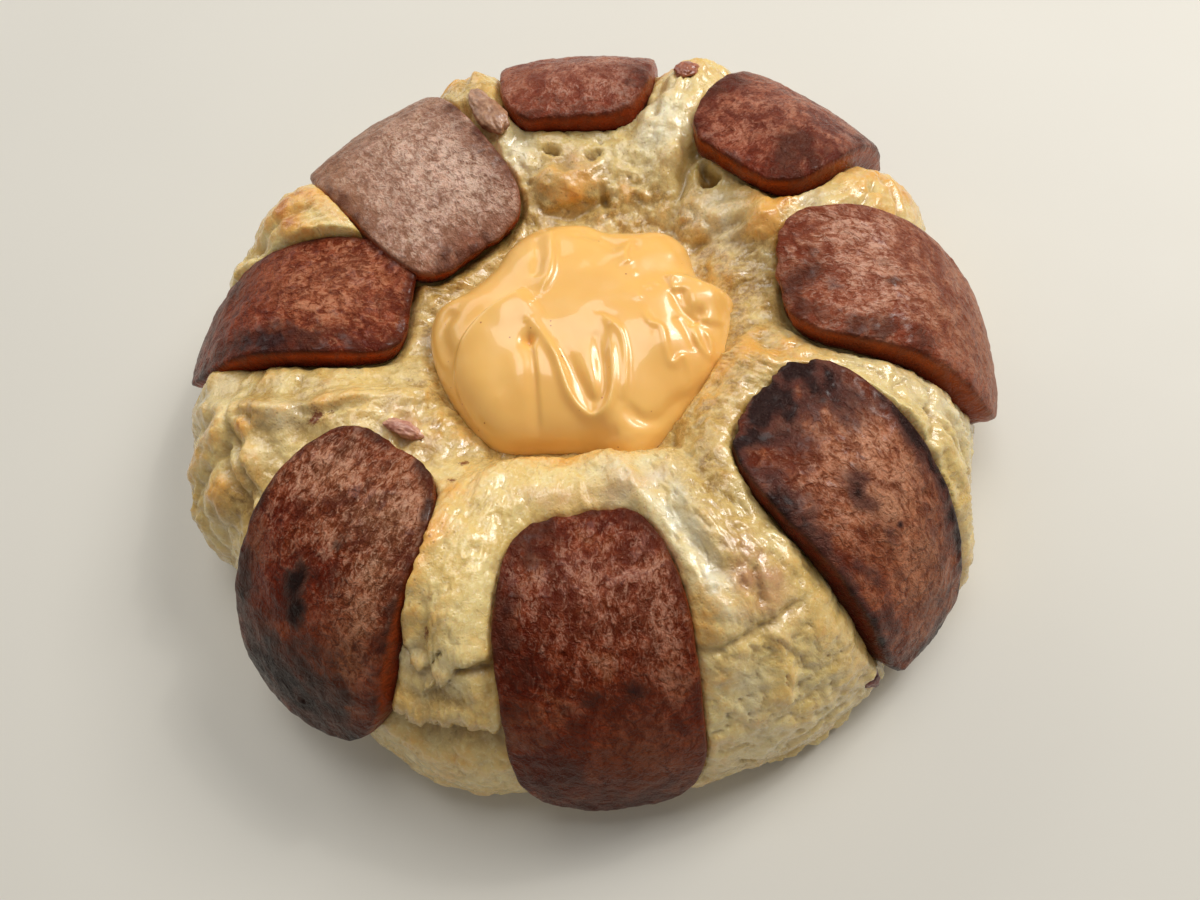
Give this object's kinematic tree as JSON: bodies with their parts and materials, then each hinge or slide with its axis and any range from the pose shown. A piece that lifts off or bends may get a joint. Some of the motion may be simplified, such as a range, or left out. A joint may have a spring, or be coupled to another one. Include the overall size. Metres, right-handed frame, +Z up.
{
  "type": "meat pie",
  "caption": "Ring-shaped meat pie: domed baked dough with bent slabs of fried luncheon meat set into it and a spoonful of thick sauce in its middle.",
  "frame": {"origin": "middle of the pie's flat base, which rests on the surface", "axes": "+Z up, +X to the right as the pie is served, -Y towards the eater"},
  "size_m": [0.2384, 0.2424, 0.0614],
  "materials": {
    "bread": "pale baked dough, golden brown on its crests, slightly greasy",
    "meat": "fried luncheon meat, red-brown and mottled with a wet sheen, charred in places",
    "sauce": "thick smooth orange sauce, satin to glossy",
    "filling": "scraps of cooked meat that show in the dough"
  },
  "bodies": {
    "root": {"bread": "bread", "meat_slice_1": "meat", "meat_slice_2": "meat", "meat_slice_3": "meat", "meat_slice_4": "meat", "meat_slice_5": "meat", "meat_slice_6": "meat", "meat_slice_7": "meat", "meat_slice_8": "meat", "sauce": "sauce", "filling_scrap_hood": "filling", "filling_scrap_back": "filling", "filling_scrap_front": "filling", "filling_scrap_side": "filling"}
  },
  "joints": []
}
